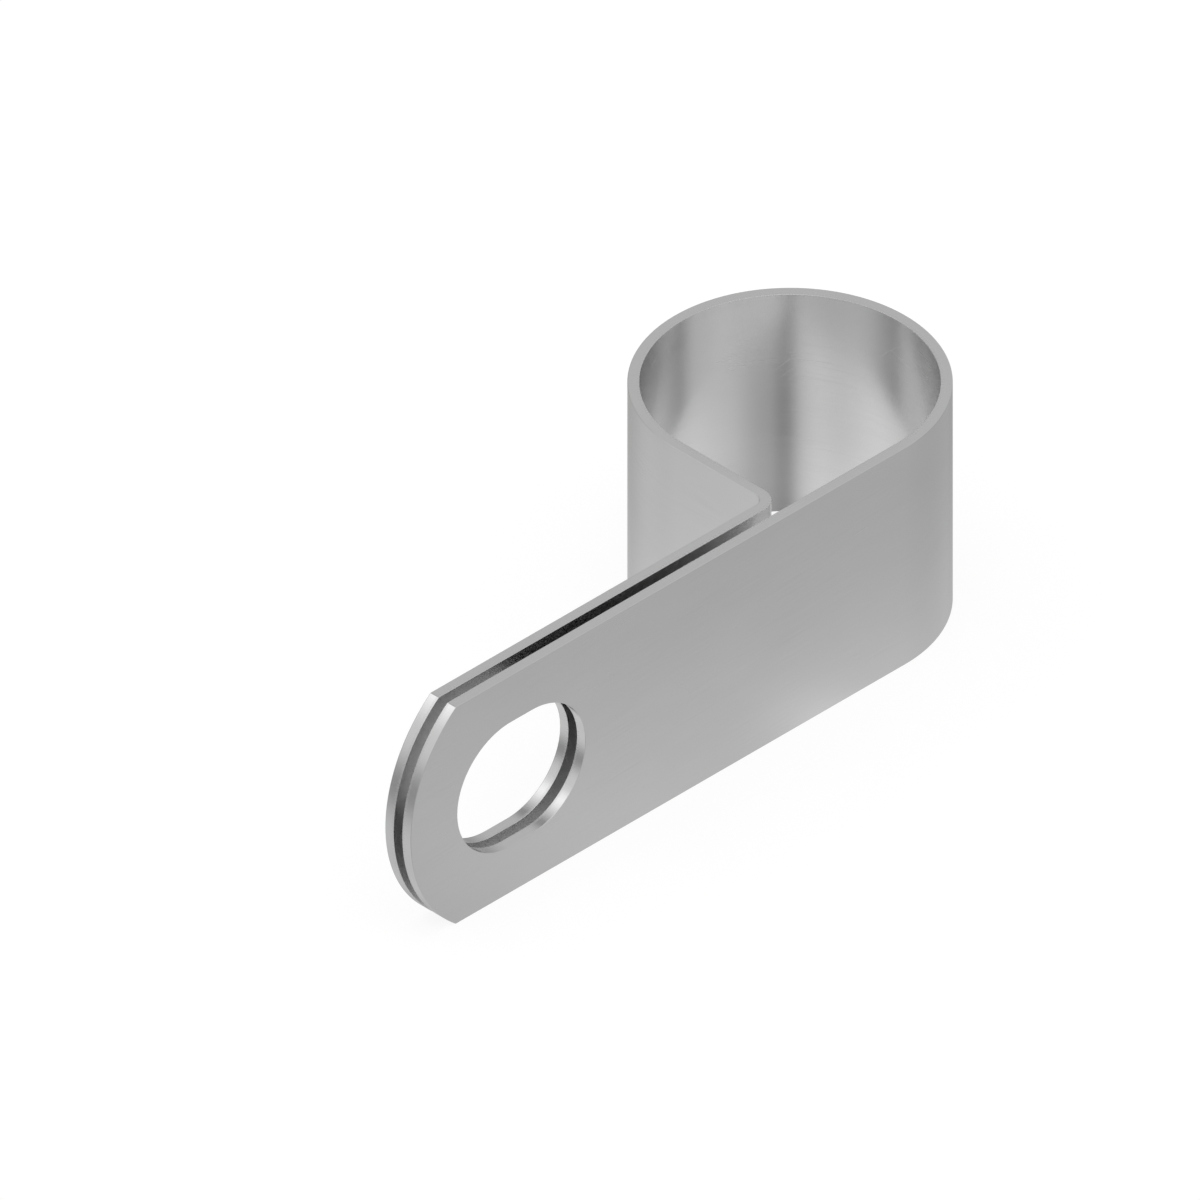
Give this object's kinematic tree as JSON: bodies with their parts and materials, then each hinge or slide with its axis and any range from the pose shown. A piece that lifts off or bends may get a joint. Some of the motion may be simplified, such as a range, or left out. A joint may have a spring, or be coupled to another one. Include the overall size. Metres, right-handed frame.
{
  "type": "p clip",
  "caption": "Bent strip steel P clip: a round loop holds a cable or pipe, and two close parallel legs share a slotted bolt hole for fixing it down.",
  "frame": {"origin": "on the loop's axis, level with the strip's lower edge", "axes": "+Z along the loop's axis, +X from the bolt slot towards the loop, and the face that is bolted down looks along -Y"},
  "size_m": [0.0715, 0.027, 0.022],
  "materials": {
    "steel_strip": "satin rolled steel strip, neutral grey, uncoated, with sheared edges"
  },
  "bodies": {
    "root": {"clip_band": "steel_strip"}
  },
  "joints": []
}
